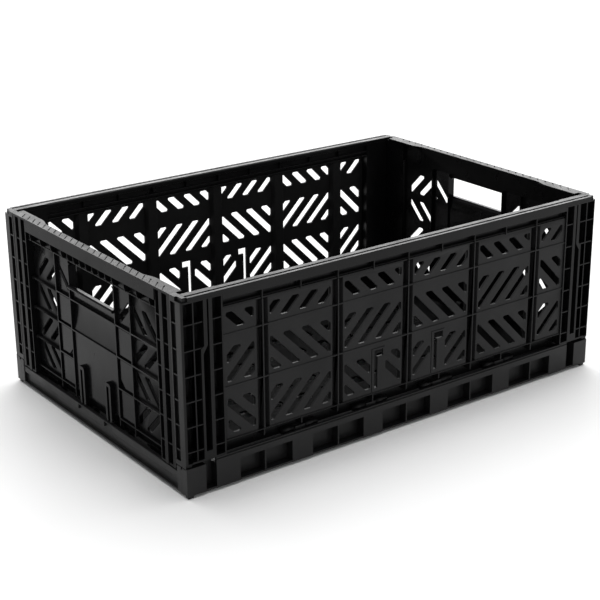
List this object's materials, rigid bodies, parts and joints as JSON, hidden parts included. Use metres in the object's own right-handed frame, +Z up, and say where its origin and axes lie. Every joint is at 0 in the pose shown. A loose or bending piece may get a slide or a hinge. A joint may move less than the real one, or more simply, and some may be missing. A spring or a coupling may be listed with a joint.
{
  "type": "collapsible storage crate",
  "caption": "Black collapsible plastic storage crate with slotted walls, corner posts, hand-holes and end walls that fold inwards.",
  "frame": {"origin": "Centre of the footprint, on the surface the feet stand on.", "axes": "+X runs along the long side, +Y across from the front long wall to the back one, +Z up through the open top."},
  "size_m": [0.6, 0.4, 0.225],
  "materials": {
    "black_polypropylene": "satin moulded"
  },
  "bodies": {
    "crate_body": {"base_floor": "black_polypropylene", "base_front": "black_polypropylene", "base_back": "black_polypropylene", "base_left": "black_polypropylene", "base_right": "black_polypropylene", "base_corner_front_left": "black_polypropylene", "base_corner_back_right": "black_polypropylene", "base_corner_front_right": "black_polypropylene", "base_corner_back_left": "black_polypropylene", "front_hinge_clips": "black_polypropylene", "back_hinge_clips": "black_polypropylene", "left_knuckles": "black_polypropylene", "right_knuckles": "black_polypropylene", "front_rim": "black_polypropylene", "front_grille": "black_polypropylene", "front_channels": "black_polypropylene", "front_bottom_rail": "black_polypropylene", "front_hinge_bar": "black_polypropylene", "front_left_post": "black_polypropylene", "front_right_post": "black_polypropylene", "front_left_return": "black_polypropylene", "front_right_return": "black_polypropylene", "back_rim": "black_polypropylene", "back_grille": "black_polypropylene", "back_channels": "black_polypropylene", "back_bottom_rail": "black_polypropylene", "back_hinge_bar": "black_polypropylene", "back_left_post": "black_polypropylene", "back_right_post": "black_polypropylene", "back_left_return": "black_polypropylene", "back_right_return": "black_polypropylene"},
    "left_end_wall": {"left_top_rail": "black_polypropylene", "left_rail_fins": "black_polypropylene", "left_label_panel": "black_polypropylene", "left_card_clips": "black_polypropylene", "left_front_side_panel": "black_polypropylene", "left_back_side_panel": "black_polypropylene", "left_front_grille": "black_polypropylene", "left_back_grille": "black_polypropylene", "left_front_stile": "black_polypropylene", "left_back_stile": "black_polypropylene", "left_bottom_rail": "black_polypropylene", "left_hinge_tabs": "black_polypropylene"},
    "right_end_wall": {"right_top_rail": "black_polypropylene", "right_rail_fins": "black_polypropylene", "right_label_panel": "black_polypropylene", "right_card_clips": "black_polypropylene", "right_front_side_panel": "black_polypropylene", "right_back_side_panel": "black_polypropylene", "right_front_grille": "black_polypropylene", "right_back_grille": "black_polypropylene", "right_front_stile": "black_polypropylene", "right_back_stile": "black_polypropylene", "right_bottom_rail": "black_polypropylene", "right_hinge_tabs": "black_polypropylene"}
  },
  "joints": [
    {"name": "left_end_fold", "type": "hinge", "parent": "crate_body", "child": "left_end_wall", "pos_m": [-0.288, 0, 0.018], "axis": [0, 1, 0], "range_deg": [0, 90]},
    {"name": "right_end_fold", "type": "hinge", "parent": "crate_body", "child": "right_end_wall", "pos_m": [0.288, 0, 0.018], "axis": [0, -1, 0], "range_deg": [0, 90]}
  ]
}
